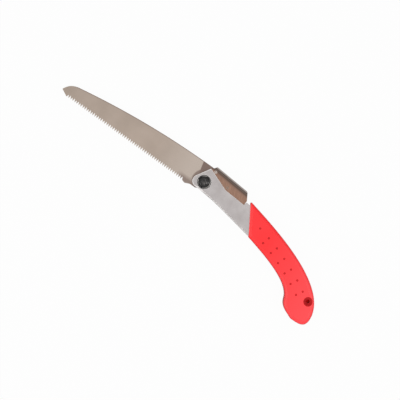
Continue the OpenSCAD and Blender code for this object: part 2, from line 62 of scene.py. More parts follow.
VIEW_RIGHT = Vector((0.8107, 0.5855, 0))
VIEW_UP = Vector((-0.5855, 0.8107, 0))
VIEW_CENTRE = Vector((9.0, -21.3, MID_Z))
VIEW_WIDTH = 504
LENS = 100
SENSOR = 36


def place_camera():
    """Looks straight down on the saw, turned so that the blade points up and to the left."""
    data = bpy.data.cameras.new("camera")
    data.lens = LENS
    data.sensor_width = SENSOR
    data.clip_start = 0.05
    data.clip_end = 20
    camera = bpy.data.objects.new("camera", data)
    bpy.context.scene.collection.objects.link(camera)
    distance = VIEW_WIDTH * LENS / SENSOR
    turn = Matrix((VIEW_RIGHT, VIEW_UP, VIEW_RIGHT.cross(VIEW_UP))).transposed().to_4x4()
    place = Matrix.Translation((VIEW_CENTRE + Vector((0, 0, distance))) * MM)
    camera.matrix_world = place @ turn
    bpy.context.scene.camera = camera


place_camera()


# ---- Shader helpers ----


def linear(hex_colour):
    """An sRGB hex colour as linear red, green, blue and alpha."""
    parts = [int(hex_colour[i : i + 2], 16) / 255 for i in (1, 3, 5)]
    return [p / 12.92 if p <= 0.04045 else ((p + 0.055) / 1.055) ** 2.4 for p in parts] + [1.0]


def add(tree, kind, settings=None, feeds=None):
    """Adds a node, gives its properties, sockets and colour stops their settings, and links what feeds it."""
    made = tree.nodes.new("ShaderNode" + kind)
    for key, value in (settings or {}).items():
        if key == "stops":
            ramp = made.color_ramp.elements
            ramp[0].position, ramp[1].position = value[0][0], value[-1][0]
            for position, _ in value[1:-1]:
                ramp.new(position)
            for stop, (_, colour) in zip(ramp, value):
                stop.color = linear(colour)
        elif isinstance(key, str) and hasattr(made, key):
            setattr(made, key, value)
        else:
            made.inputs[key].default_value = value
    for key, source in (feeds or {}).items():
        tree.links.new(source, made.inputs[key])
    return made


def start_material(name):
    """An empty material, and the Object coordinates to draw its patterns in."""
    material = bpy.data.materials.new(name)
    material.use_nodes = True
    tree = material.node_tree
    tree.nodes.clear()
    return material, tree, add(tree, "TexCoord").outputs["Object"]


def brush_lines(tree, where, across_mm, along_mm, degrees):
    """Noise drawn out along one direction, at an angle to +X, as a belt or a wheel leaves its lines."""
    turned = add(tree, "Mapping", {"Rotation": (0, 0, math.radians(-degrees))}, {"Vector": where})
    drawn = add(
        tree,
        "Mapping",
        {"Scale": (1 / (along_mm * MM), 1 / (across_mm * MM), 1 / (across_mm * MM))},
        {"Vector": turned.outputs["Vector"]},
    )
    noise = add(
        tree, "TexNoise", {"Scale": 1.0, "Detail": 4, "Roughness": 0.6}, {"Vector": drawn.outputs["Vector"]}
    )
    return noise.outputs["Fac"]


def distance_from(tree, where, place_mm):
    """The distance in the saw's plane from a place in it."""
    offset = add(tree, "VectorMath", {"operation": "SUBTRACT", 1: Vector((*place_mm, 0)) * MM}, {0: where})
    flat = add(tree, "VectorMath", {"operation": "MULTIPLY", 1: (1, 1, 0)}, {0: offset.outputs["Vector"]})
    return add(tree, "VectorMath", {"operation": "LENGTH"}, {0: flat.outputs["Vector"]}).outputs["Value"]


def distance_from_middle(tree, where):
    """The distance from the saw's middle plane."""
    place = add(tree, "SeparateXYZ", None, {"Vector": where})
    level = add(tree, "Math", {"operation": "SUBTRACT", 1: MID_Z * MM}, {0: place.outputs["Z"]})
    return add(tree, "Math", {"operation": "ABSOLUTE"}, {0: level.outputs["Value"]}).outputs["Value"]


def seen_plainly(tree, path):
    """1 for a ray of the camera, of gloss or of glass, and 0 for soft light."""
    seen = path.outputs["Is Camera Ray"]
    for ray in ("Is Glossy Ray", "Is Transmission Ray"):
        seen = add(tree, "Math", {"operation": "MAXIMUM"}, {0: seen, 1: path.outputs[ray]}).outputs["Value"]
    return seen


# ---- Materials ----

# The frame plates: the sole's slope and line, the outer faces' height over the middle, and the spot face.
SOLE_ANGLE = 9.4
SOLE_LINE = -8.6
SOLE_BAND = (2.6, 2)
SOLE_START_X = (2, 8)
OUTER_Z = 7
SPOT_R = 9.7
# How far below the outer faces the bright cut starts and is full (a fresh cut, drawn paler as a painted
# highlight), and the same for the painted shade on the sole's rounding.
CUT_DEPTH = (0.03, 0.12)
SOLE_SHADE_DEPTH = (0.6, 1.8)
# The blade: the slanted end of its grind, and the arc of its back. Each pair after them gives where a dark or
# pale part of it starts and is full.
GRIND_LOW = Vector((-9.5, -4))
GRIND_TOP = Vector((-16, 22.5))
GRIND_BLUR = 0.4
BACK_R = 1080
BACK_CENTRE = (-4, 21.5 - BACK_R)
BACK_BAND = (1.3, 0.5)
EAR_RIM_R = (17.2, 15.4)
HEEL_Y = (-5, -10)
HEEL_X = (-36, -27)
PALER_X = (-75, -25)
# The lever: the front end of its back, the back's slope, and how far down from it the painted highlight and
# shade are drawn.
LEVER_FRONT = (3.2, 25.4)
LEVER_TILT = math.radians(-3.8)
LEVER_BAND_DEPTH = 12
# The pivot, the screw's cross recess round it, and the crest of the cup washer's rim, where rubbed bare edges
# are drawn as painted highlights.
PIVOT = (0, 0)
RECESS_LONG = 7.2
RECESS_WIDE = 1.5
RECESS_TURN = math.radians(20)
RECESS_EDGE = (0.32, 0.08)
CUP_CREST_R = 7.6
CUP_CREST_EDGE = (0.5, 0.15)
# The grip: where the painted highlight on its tail starts and is full, and how far below its faces the painted
# shade on its sides starts and is full.
TAIL_HIGHLIGHT_X = (110, 205)
SIDE_SHADE_DEPTH = (1.6, 4)


def satin_aluminium():
    """Die-cast aluminium: faces linished to a satin, chamfers cut and drawn paler as a painted highlight, and
    painted shade on the sole's rounded edge.
    """
    material, tree, where = start_material("satin_aluminium")
    # Belt lines are about 0.05 mm wide; they are drawn ten times coarser, so that they show.
    lines = brush_lines(tree, where, 0.5, 12, -SOLE_ANGLE)
    patches = add(tree, "TexNoise", {"Scale": 1 / (16 * MM), "Detail": 3}, {"Vector": where})
    linished = add(
        tree, "ValToRGB", {"stops": [(0.3, "#C0BAB9"), (0.7, "#D1CCCB")]}, {"Fac": patches.outputs["Fac"]}
    )
    radius = distance_from(tree, where, PIVOT)
    # The cutter's feed leaves a ring every 0.3 mm; a wave's own period at scale 1 is a twentieth of a turn.
    rings = add(
        tree,
        "TexWave",
        {
            "wave_type": "RINGS",
            "rings_direction": "Z",
            "Scale": math.tau / 20 / (0.3 * MM),
            "Distortion": 0.6,
        },
        {"Vector": where},
    )
    turned = add(
        tree,
        "MapRange",
        {"From Min": (SPOT_R + 0.1) * MM, "From Max": (SPOT_R - 0.1) * MM},
        {"Value": radius},
    )
    marks = add(
        tree, "Mix", {"data_type": "FLOAT"}, {0: turned.outputs["Result"], 2: lines, 3: rings.outputs["Fac"]}
    )
    # Whatever lies below a plate's outer face was cut after it was linished; it is drawn paler than the faces,
    # partly as a painted highlight.
    from_middle = distance_from_middle(tree, where)
    cut = add(
        tree,
        "MapRange",
        {"From Min": (OUTER_Z - CUT_DEPTH[0]) * MM, "From Max": (OUTER_Z - CUT_DEPTH[1]) * MM},
        {"Value": from_middle},
    )
    out = Vector((math.sin(math.radians(SOLE_ANGLE)), math.cos(math.radians(SOLE_ANGLE)), 0))
    rise = add(tree, "VectorMath", {"operation": "DOT_PRODUCT", 1: out}, {0: where})
    low = add(
        tree,
        "MapRange",
        {"From Min": (SOLE_LINE + SOLE_BAND[0]) * MM, "From Max": (SOLE_LINE + SOLE_BAND[1]) * MM},
        {"Value": rise.outputs["Value"]},
    )
    place = add(tree, "SeparateXYZ", None, {"Vector": where})
    past_ear = add(
        tree,
        "MapRange",
        {"From Min": SOLE_START_X[0] * MM, "From Max": SOLE_START_X[1] * MM},
        {"Value": place.outputs["X"]},
    )
    # Painted shade: the sole's rounding is drawn darker, a little just below the face and fully further down.
    shade_down_rounding = add(
        tree,
        "MapRange",
        {
            "From Min": (OUTER_Z - SOLE_SHADE_DEPTH[0]) * MM,
            "From Max": (OUTER_Z - SOLE_SHADE_DEPTH[1]) * MM,
            "To Min": 0.4,
        },
        {"Value": from_middle},
    )
    painted_sole_shade = low.outputs["Result"]
    for mask in (past_ear, shade_down_rounding):
        product = add(tree, "Math", {"operation": "MULTIPLY"}, {0: painted_sole_shade, 1: mask.outputs["Result"]})
        painted_sole_shade = product.outputs["Value"]
    cut_highlight_and_sole_shade = add(
        tree,
        "Mix",
        {"data_type": "RGBA", 6: linear("#E2DEDC"), 7: linear("#8B8583")},
        {0: painted_sole_shade},
    )
    colour = add(
        tree,
        "Mix",
        {"data_type": "RGBA"},
        {0: cut.outputs["Result"], 6: linished.outputs["Color"], 7: cut_highlight_and_sole_shade.outputs[2]},
    )
    rough = add(tree, "MapRange", {"To Min": 0.3, "To Max": 0.46}, {"Value": marks.outputs[0]})
    bump = add(tree, "Bump", {"Strength": 0.7, "Distance": 0.02 * MM}, {"Height": marks.outputs[0]})
    shader = add(
        tree,
        "BsdfPrincipled",
        {"Metallic": 1.0},
        {
            "Base Color": colour.outputs[2],
            "Roughness": rough.outputs["Result"],
            "Normal": bump.outputs["Normal"],
        },
    )
    add(tree, "OutputMaterial", None, {"Surface": shader.outputs["BSDF"]})
    return material


def ground_blade_steel():
    """Carbon steel ground along the blade: warm grey with long lines, dark scale on the tang, and painted
    shade on the back.
    """
    material, tree, where = start_material("ground_blade_steel")
    # Grinding lines, drawn coarser than the real 0.03 mm so that they show.
    lines = brush_lines(tree, where, 0.4, 45, 0)
    patches = add(tree, "TexNoise", {"Scale": 1 / (38 * MM), "Detail": 3}, {"Vector": where})
    ground = add(
        tree, "ValToRGB", {"stops": [(0.3, "#B4A598"), (0.7, "#C4B4A7")]}, {"Fac": patches.outputs["Fac"]}
    )
    # The grind ends at a slanted line in front of the tang.
    across = (GRIND_TOP - GRIND_LOW).orthogonal().normalized() * -1
    along = add(tree, "VectorMath", {"operation": "DOT_PRODUCT", 1: (across.x, across.y, 0)}, {0: where})
    line = GRIND_LOW.dot(across)
    on_tang = add(
        tree,
        "MapRange",
        {"From Min": (line - GRIND_BLUR) * MM, "From Max": (line + GRIND_BLUR) * MM},
        {"Value": along.outputs["Value"]},
    )
    # The back is one arc, and the last of the blade's width along it is drawn dark as painted shade.
    from_centre = distance_from(tree, where, BACK_CENTRE)
    painted_back_shade = add(
        tree,
        "MapRange",
        {"From Min": (BACK_R - BACK_BAND[0]) * MM, "From Max": (BACK_R - BACK_BAND[1]) * MM, "To Max": 0.75},
        {"Value": from_centre},
    )
    # Painted shadow: a dark ring round the frame's ear, where the ear shades the blade. The heel is also
    # darker towards its lower rear.
    painted_ear_shadow = add(
        tree,
        "MapRange",
        {"From Min": EAR_RIM_R[0] * MM, "From Max": EAR_RIM_R[1] * MM, "To Max": 0.85},
        {"Value": distance_from(tree, where, PIVOT)},
    )
    place = add(tree, "SeparateXYZ", None, {"Vector": where})
    low = add(
        tree,
        "MapRange",
        {"From Min": HEEL_Y[0] * MM, "From Max": HEEL_Y[1] * MM, "To Max": 0.75},
        {"Value": place.outputs["Y"]},
    )
    rear = add(
        tree,
        "MapRange",
        {"From Min": HEEL_X[0] * MM, "From Max": HEEL_X[1] * MM},
        {"Value": place.outputs["X"]},
    )
    darker_heel = add(
        tree, "Math", {"operation": "MULTIPLY"}, {0: low.outputs["Result"], 1: rear.outputs["Result"]}
    )
    # The dark colour covers the tang's real scale, the painted shade on the back, the painted shadow round the
    # ear and the darker heel.
    scale = on_tang.outputs["Result"]
    for dark in (painted_back_shade.outputs["Result"], painted_ear_shadow.outputs["Result"], darker_heel.outputs["Value"]):
        scale = add(tree, "Math", {"operation": "MAXIMUM"}, {0: scale, 1: dark}).outputs["Value"]
    # The blade is drawn a little paler towards the tang.
    paler_by_tang = add(
        tree,
        "MapRange",
        {"From Min": PALER_X[0] * MM, "From Max": PALER_X[1] * MM, "To Max": 0.8},
        {"Value": place.outputs["X"]},
    )
    steel = add(
        tree,
        "Mix",
        {"data_type": "RGBA", 7: linear("#D0C3B8")},
        {0: paler_by_tang.outputs["Result"], 6: ground.outputs["Color"]},
    )
    colour = add(
        tree,
        "Mix",
        {"data_type": "RGBA", 7: linear("#8B7870")},
        {0: scale, 6: steel.outputs[2]},
    )
    rough = add(tree, "MapRange", {"To Min": 0.28, "To Max": 0.42}, {"Value": lines})
    bump = add(tree, "Bump", {"Strength": 0.6, "Distance": 0.01 * MM}, {"Height": lines})
    shader = add(
        tree,
        "BsdfPrincipled",
        {"Metallic": 1.0},
        {
            "Base Color": colour.outputs[2],
            "Roughness": rough.outputs["Result"],
            "Normal": bump.outputs["Normal"],
        },
    )
    add(tree, "OutputMaterial", None, {"Surface": shader.outputs["BSDF"]})
    return material


def bronzed_lever_steel():
    """Pressed strip steel, tempered brown and brushed across: a brown gleam, and painted highlight and shade
    along its back.
    """
    material, tree, where = start_material("bronzed_lever_steel")
    lines = brush_lines(tree, where, 0.7, 9, 118)
    temper = add(tree, "ValToRGB", {"stops": [(0.3, "#927262"), (0.7, "#B18C78")]}, {"Fac": lines})
    # The distance down from the lever's back: a painted grey highlight on the bend, a painted dark line of
    # shade under it, then the brown.
    down = Vector((0, -1)) @ Matrix.Rotation(-LEVER_TILT, 2)
    offset = add(
        tree, "VectorMath", {"operation": "SUBTRACT", 1: Vector((*LEVER_FRONT, 0)) * MM}, {0: where}
    )
    below = add(
        tree,
        "VectorMath",
        {"operation": "DOT_PRODUCT", 1: (down.x, down.y, 0)},
        {0: offset.outputs["Vector"]},
    )
    down_the_bands = add(
        tree, "MapRange", {"From Max": LEVER_BAND_DEPTH * MM, "To Max": 1.0}, {"Value": below.outputs["Value"]}
    )
    painted_bands = add(
        tree,
        "ValToRGB",
        {
            "stops": [(0.0, "#B4ABA6"), (0.18, "#8C7F78"), (0.39, "#67554B")]
            + [(0.6, "#92766A"), (1.0, "#A3826F")]
        },
        {"Fac": down_the_bands.outputs["Result"]},
    )
    share = add(
        tree, "MapRange", {"From Min": 0.42, "From Max": 0.8}, {"Value": down_the_bands.outputs["Result"]}
    )
    colour = add(
        tree,
        "Mix",
        {"data_type": "RGBA"},
        {0: share.outputs["Result"], 6: painted_bands.outputs["Color"], 7: temper.outputs["Color"]},
    )
    rough = add(tree, "MapRange", {"To Min": 0.18, "To Max": 0.3}, {"Value": lines})
    bump = add(tree, "Bump", {"Strength": 0.6, "Distance": 0.014 * MM}, {"Height": lines})
    shader = add(
        tree,
        "BsdfPrincipled",
        {"Metallic": 1.0},
        {
            "Base Color": colour.outputs[2],
            "Roughness": rough.outputs["Result"],
            "Normal": bump.outputs["Normal"],
        },
    )
    add(tree, "OutputMaterial", None, {"Surface": shader.outputs["BSDF"]})
    return material


def moulded_elastomer(name, low, high, painted_tail_highlight, painted_side_shade, roughness):
    """Thermoplastic elastomer from a spark-eroded tool: strong red, fine grain, a painted highlight on the
    tail and painted shade on the sides.
    """
    material, tree, where = start_material(name)
    # The tool's grain is about 0.1 mm; it is drawn at 0.5 mm, the finest that shows.
    texture = add(tree, "TexNoise", {"Scale": 1 / (0.5 * MM), "Detail": 2}, {"Vector": where})
    patches = add(tree, "TexNoise", {"Scale": 1 / (28 * MM), "Detail": 2}, {"Vector": where})
    fresh = add(tree, "ValToRGB", {"stops": [(0.3, low), (0.7, high)]}, {"Fac": patches.outputs["Fac"]})
    place = add(tree, "SeparateXYZ", None, {"Vector": where})
    # Painted highlight: the tail is drawn paler. Painted shade: the sides are drawn darker below the faces.
    tail_highlight_mask = add(
        tree,
        "MapRange",
        {"From Min": TAIL_HIGHLIGHT_X[0] * MM, "From Max": TAIL_HIGHLIGHT_X[1] * MM},
        {"Value": place.outputs["X"]},
    )
    with_tail_highlight = add(
        tree,
        "Mix",
        {"data_type": "RGBA", 7: linear(painted_tail_highlight)},
        {0: tail_highlight_mask.outputs["Result"], 6: fresh.outputs["Color"]},
    )
    side = add(
        tree,
        "MapRange",
        {"From Min": (HALF_GRIP - SIDE_SHADE_DEPTH[0]) * MM, "From Max": (HALF_GRIP - SIDE_SHADE_DEPTH[1]) * MM},
        {"Value": distance_from_middle(tree, where)},
    )
    colour = add(
        tree,
        "Mix",
        {"data_type": "RGBA", 7: linear(painted_side_shade)},
        {0: side.outputs["Result"], 6: with_tail_highlight.outputs[2]},
    )
    bump = add(tree, "Bump", {"Strength": 0.35, "Distance": 0.05 * MM}, {"Height": texture.outputs["Fac"]})
    rough = add(
        tree,
        "MapRange",
        {"To Min": roughness - 0.05, "To Max": roughness + 0.07},
        {"Value": texture.outputs["Fac"]},
    )
    shader = add(
        tree,
        "BsdfPrincipled",
        {"IOR": 1.5, "Sheen Weight": 0.05, "Sheen Roughness": 0.5},
        {
            "Base Color": colour.outputs[2],
            "Roughness": rough.outputs["Result"],
            "Normal": bump.outputs["Normal"],
        },
    )
    add(tree, "OutputMaterial", None, {"Surface": shader.outputs["BSDF"]})
    return material


def recess_edge(tree, where):
    """How near a point is to the edge of the screw's cross recess."""
    turned = add(tree, "Mapping", {"Rotation": (0, 0, -RECESS_TURN)}, {"Vector": where})
    folded = add(tree, "VectorMath", {"operation": "ABSOLUTE"}, {0: turned.outputs["Vector"]})
    sides = add(tree, "SeparateXYZ", None, {"Vector": folded.outputs["Vector"]})
    longer = add(tree, "Math", {"operation": "MAXIMUM"}, {0: sides.outputs["X"], 1: sides.outputs["Y"]})
    shorter = add(tree, "Math", {"operation": "MINIMUM"}, {0: sides.outputs["X"], 1: sides.outputs["Y"]})
    half_long, half_wide = RECESS_LONG / 2 * MM, RECESS_WIDE / 2 * MM
    past_end = add(tree, "Math", {"operation": "SUBTRACT", 1: half_long}, {0: longer.outputs["Value"]})
    past_side = add(tree, "Math", {"operation": "SUBTRACT", 1: half_wide}, {0: shorter.outputs["Value"]})
    pasts = {0: past_end.outputs["Value"], 1: past_side.outputs["Value"]}
    outside = add(tree, "Math", {"operation": "MAXIMUM"}, pasts)
    away = add(tree, "Math", {"operation": "ABSOLUTE"}, {0: outside.outputs["Value"]})
    edge = {"From Min": RECESS_EDGE[0] * MM, "From Max": RECESS_EDGE[1] * MM}
    return add(tree, "MapRange", edge, {"Value": away.outputs["Value"]}).outputs["Result"]


def cup_rim(tree, where):
    """How near a point is to the crest of the cup washer's rim."""
    radius = distance_from(tree, where, PIVOT)
    past = add(tree, "Math", {"operation": "SUBTRACT", 1: CUP_CREST_R * MM}, {0: radius})
    away = add(tree, "Math", {"operation": "ABSOLUTE"}, {0: past.outputs["Value"]})
    edge = {"From Min": CUP_CREST_EDGE[0] * MM, "From Max": CUP_CREST_EDGE[1] * MM}
    return add(tree, "MapRange", edge, {"Value": away.outputs["Value"]}).outputs["Result"]


def black_oxide_steel(name, find_worn_glint):
    """Turned steel, blackened and oiled: near black, with clean highlights, and rubbed grey on its edges,
    which also stands as a painted highlight.
    """
    material, tree, where = start_material(name)
    patches = add(tree, "TexNoise", {"Scale": 1 / (2.5 * MM), "Detail": 3}, {"Vector": where})
    oxide = add(
        tree, "ValToRGB", {"stops": [(0.3, "#080707"), (0.7, "#121010")]}, {"Fac": patches.outputs["Fac"]}
    )
    # Wear comes in long arcs, where the parts rub against the work or the driver slips; drawn pale, it is also
    # a painted highlight.
    rubs = add(tree, "TexNoise", {"Scale": 1 / (7 * MM), "Detail": 1}, {"Vector": where})
    broken = add(tree, "MapRange", {"From Min": 0.4, "From Max": 0.6}, {"Value": rubs.outputs["Fac"]})
    worn_glint = add(
        tree, "Math", {"operation": "MULTIPLY"}, {0: find_worn_glint(tree, where), 1: broken.outputs["Result"]}
    )
    colour = add(
        tree,
        "Mix",
        {"data_type": "RGBA", 7: linear("#C4BFBB")},
        {0: worn_glint.outputs["Value"], 6: oxide.outputs["Color"]},
    )
    rough = add(tree, "MapRange", {"To Min": 0.12, "To Max": 0.22}, {"Value": patches.outputs["Fac"]})
    shader = add(
        tree,
        "BsdfPrincipled",
        {"IOR": 1.5, "Coat Weight": 0.15, "Coat Roughness": 0.08},
        {
            "Base Color": colour.outputs[2],
            "Roughness": rough.outputs["Result"],
            "Metallic": worn_glint.outputs["Value"],
        },
    )
    add(tree, "OutputMaterial", None, {"Surface": shader.outputs["BSDF"]})
    return material


def worked_metal(name, low, high, roughness):
    """A small turned, drawn or cast piece: its own colour, with fine marks that vary the gloss."""
    material, tree, where = start_material(name)
    lines = brush_lines(tree, where, 0.15, 0.6, 0)
    colour = add(tree, "ValToRGB", {"stops": [(0.3, low), (0.7, high)]}, {"Fac": lines})
    rough = add(tree, "MapRange", {"To Min": roughness, "To Max": roughness + 0.12}, {"Value": lines})
    shader = add(
        tree,
        "BsdfPrincipled",
        {"Metallic": 1.0},
        {"Base Color": colour.outputs["Color"], "Roughness": rough.outputs["Result"]},
    )
    add(tree, "OutputMaterial", None, {"Surface": shader.outputs["BSDF"]})
    return material


def moulded_nylon():
    """Black nylon thrust washers, as moulded: matte and faintly mottled."""
    material, tree, where = start_material("moulded_nylon")
    patches = add(tree, "TexNoise", {"Scale": 1 / (1.5 * MM), "Detail": 3}, {"Vector": where})
    colour = add(
        tree, "ValToRGB", {"stops": [(0.3, "#1E1E1E"), (0.7, "#292929")]}, {"Fac": patches.outputs["Fac"]}
    )
    rough = add(tree, "MapRange", {"To Min": 0.5, "To Max": 0.65}, {"Value": patches.outputs["Fac"]})
    shader = add(
        tree,
        "BsdfPrincipled",
        {"IOR": 1.53},
        {"Base Color": colour.outputs["Color"], "Roughness": rough.outputs["Result"]},
    )
    add(tree, "OutputMaterial", None, {"Surface": shader.outputs["BSDF"]})
    return material


plate_metal = satin_aluminium()
blade_metal = ground_blade_steel()
lever_metal = bronzed_lever_steel()
# The third and fourth colours are the painted highlight on the tail and the painted shade on the sides.
grip_red = moulded_elastomer("moulded_red_elastomer", "#F6161B", "#FB1D22", "#FF3C41", "#C4161B", 0.48)
# Painted shade: the dimples and the hang hole get a darker copy of the red.
dimple_shade_red = moulded_elastomer("elastomer_shaded_in_hollows", "#BE070C", "#CA0B11", "#CA0B11", "#B8080D", 0.75)
screw_steel = black_oxide_steel("black_screw_steel", recess_edge)
cup_steel = black_oxide_steel("black_washer_steel", cup_rim)
lock_pin_metal = worked_metal("ground_pin_steel", "#B9AAA0", "#D8CCC4", 0.2)
hinge_pin_metal = worked_metal("bronzed_pin_steel", "#9A8070", "#BCA596", 0.2)
core_metal = worked_metal("blasted_die_casting", "#6C6C6E", "#808083", 0.5)
rivet_metal = worked_metal("headed_rivet_steel", "#A8A6A4", "#C2C0BE", 0.3)
brass = worked_metal("turned_brass", "#B7954F", "#CBAA62", 0.28)
spring_metal = worked_metal("drawn_spring_wire", "#A9A9AD", "#C2C2C6", 0.25)
nylon = moulded_nylon()

FINISHES = {
    "near_side_plate": plate_metal,
    "far_side_plate": plate_metal,
    "core": core_metal,
    "core_rivets": rivet_metal,
    "pivot_screw": screw_steel,
    "pivot_cup_washer": cup_steel,
    "pivot_lock_washer": cup_steel,
    "pivot_nut": cup_steel,
    "wave_washer": spring_metal,
    "pivot_bush": brass,
    "near_thrust_washer": nylon,
    "far_thrust_washer": nylon,
    "lever_hinge_pin": hinge_pin_metal,
    "lock_pin": lock_pin_metal,
    "lever_shims": brass,
    "lever_spring": spring_metal,
    "blade": blade_metal,
    "lock_lever": lever_metal,
    "grip": grip_red,
}
for name, material in FINISHES.items():
    nodes[name].data.materials.clear()
    nodes[name].data.materials.append(material)


# ---- Mesh helpers ----

SHARP_ANGLE = math.radians(32)


def finish_mesh(name, bm, materials):
    """Turns a bmesh in millimetres into an object at the origin, shaded smooth between sharp edges."""
    bmesh.ops.scale(bm, vec=(MM, MM, MM), verts=bm.verts)
    for face in bm.faces:
        face.smooth = True
    for edge in bm.edges:
        edge.smooth = len(edge.link_faces) == 2 and edge.calc_face_angle(0) < SHARP_ANGLE
    mesh = bpy.data.meshes.new(name)
    bm.to_mesh(mesh)
    bm.free()
    for material in materials:
        mesh.materials.append(material)
    piece = bpy.data.objects.new(name, mesh)
    bpy.context.scene.collection.objects.link(piece)
    return piece


def bezier(points, t):
    """The point at t, from 0 to 1, on the cubic curve that four points pull."""
    a, b, c, d = (Vector(p) for p in points)
    return a * (1 - t) ** 3 + b * 3 * t * (1 - t) ** 2 + c * 3 * t * t * (1 - t) + d * t**3


def curve(points, steps):
    """Points along a cubic curve, without its last, which starts the next curve."""
    return [bezier(points, i / steps) for i in range(steps)]


# ---- Grip ----

EDGE_IN = 5.5
EDGE_DROP = 4
EDGE_STEPS = 9
SEAM = 0.25
FOLD_ANGLE = math.radians(161.5)
TOOTH_LINE = 14
LAST_TOOTH_X = -203.8
TIP = Vector((LAST_TOOTH_X - 9.6, 5.2 - TOOTH_LINE))
FOLDED_TIP_Y = TIP.x * math.sin(FOLD_ANGLE) + TIP.y * math.cos(FOLD_ANGLE)
GRIP_TOP = Vector((61.3, 14.8))
GRIP_LOW = Vector((85.6, -23.5))
TAIL_SIDE = Vector((TAIL_X, FOLDED_TIP_Y - 4))
TAIL_END = TAIL_SIDE + Vector((-20.8, -12.1))
HOOK = TAIL_SIDE + Vector((-42, 3.4))
TOP_PULL = Vector((92.6, 7.6))
LOW_PULL = Vector((117.8, -30.9))
HANG_AT = TAIL_SIDE + Vector((-15.3, 18))
# The front face lies a little inside the outline's two corners, and a bevel runs along both its edges.
FRONT_IN = 0.2
FRONT_BEVEL = 3.4
FRONT_DROP = 1.8
CORNER_OFF = 2.2
# How far the outline runs on past the front's two corners before the front is cut.
TOP_SPARE = 14
LOW_SPARE = 36
# Dimples and hang hole are turned from profiles of (radius, depth below the face).
DIMPLE_PAIRS = 6
DIMPLE_ROW = 4.7
DIMPLE_LINE = [(90, -10.6), (121.9, -17.2), (151.3, -28.1), (178.1, -43.1)]
DIMPLE = [(0, 0.7), (0.8, 0.65), (1.2, 0.4), (1.4, 0.15), (1.5, -0.02), (1.6, -0.5), (0, -0.5)]
HANG_FUNNEL = (
    [(0, 10.5), (2.3, 10.5), (2.3, 4.9), (2.7, 4.6), (3.2, 4.3), (5.2, 1.5)]
    + [(5.6, 0.6), (5.9, 0.2), (6.1, -0.02), (6.3, -0.6), (0, -0.6)]
)
# The slot: its clearance round the folded blade, half its width, its front end, and a level past the back.
SLOT_CLEAR = 0.9
SLOT_HALF = 4
SLOT_FRONT_X = -15
PAST_BACK_Y = 60


def grip_outline():
    """The grip from the side, clockwise, starting and ending past its slanted front edge."""
    return (
        [GRIP_TOP - (TOP_PULL - GRIP_TOP).normalized() * TOP_SPARE]
        + curve([GRIP_TOP, TOP_PULL, TAIL_SIDE + Vector((-1.9, 51.9)), TAIL_SIDE], 64)
        + curve([TAIL_SIDE, TAIL_SIDE - Vector((0, 11.6)), TAIL_END + Vector((13, 0)), TAIL_END], 24)
        + curve([TAIL_END, TAIL_END + Vector((-8.4, 3.6)), HOOK + Vector((3.5, -9.9)), HOOK], 24)
        + curve([HOOK, HOOK + Vector((-6.5, 19.6)), LOW_PULL, GRIP_LOW], 64)
        + [GRIP_LOW, GRIP_LOW - (LOW_PULL - GRIP_LOW).normalized() * LOW_SPARE]
    )


def half_grip():
    """The near half: a face drawn at the widest level, raised, and turned in to the crown ring by ring."""
    bm = bmesh.new()
    rim = [bm.verts.new((p.x, p.y, MID_Z + SEAM)) for p in grip_outline()]
    face = bm.faces.new(rim)
    face.normal_update()
    if face.normal.z < 0:
        face.normal_flip()
    base = face.copy()
    raised = bmesh.ops.extrude_face_region(bm, geom=[face])
    top = [g for g in raised["geom"] if isinstance(g, bmesh.types.BMFace)]
    wall = HALF_GRIP - EDGE_DROP - SEAM
    bmesh.ops.translate(bm, vec=(0, 0, wall), verts=list({v for f in top for v in f.verts}))
    for step in range(EDGE_STEPS):
        a, b = (math.pi / 2 * s / EDGE_STEPS for s in (step, step + 1))
        bmesh.ops.inset_region(
            bm,
            faces=top,
            thickness=EDGE_IN * (math.cos(a) - math.cos(b)),
            depth=EDGE_DROP * (math.sin(b) - math.sin(a)),
            use_even_offset=True,
            use_boundary=True,
        )
    return bm, base


def cut_flat(bm, place, away):
    """Cuts off what lies beyond a plane, and closes the cut with one face."""
    cut = bmesh.ops.bisect_plane(
        bm, geom=bm.verts[:] + bm.edges[:] + bm.faces[:], plane_co=place, plane_no=away, clear_outer=True
    )
    bmesh.ops.contextual_create(bm, geom=[g for g in cut["geom_cut"] if isinstance(g, bmesh.types.BMEdge)])


def cut_front(bm):
    """Cuts the grip flat along its slanted front, and bevels the front's near and far edges."""
    along = (GRIP_TOP - GRIP_LOW).normalized()
    ahead = Vector((-along.y, along.x, 0))
    foot = Vector((*GRIP_LOW, MID_Z)) - ahead * FRONT_IN
    cut_flat(bm, foot, ahead)
    for side in (1, -1):
        edge = foot - ahead * FRONT_BEVEL + Vector((0, 0, side * HALF_GRIP))
        cut_flat(bm, edge, (ahead * FRONT_DROP + Vector((0, 0, side * FRONT_BEVEL))).normalized())
    # The front's sharp upper corner is blunt.
    upwards = (GRIP_TOP - TOP_PULL).normalized()
    rise = Vector((-upwards.y, upwards.x, 0)) * -1
    out = (ahead + rise).normalized()
    cut_flat(bm, Vector((*GRIP_TOP, MID_Z)) - out * CORNER_OFF, out)


def dimple_places():
    """Two rows of dimples beside a curve down the middle of the grip; the first has no partner."""
    places = []
    for k in range(DIMPLE_PAIRS + 1):
        t = k / DIMPLE_PAIRS
        here, ahead = bezier(DIMPLE_LINE, t), bezier(DIMPLE_LINE, t + 0.01)
        across = Vector((-(ahead - here).y, (ahead - here).x)).normalized()
        for side in [1] if k == 0 else [1, -1]:
            places.append(here + across * DIMPLE_ROW * side)
    return places


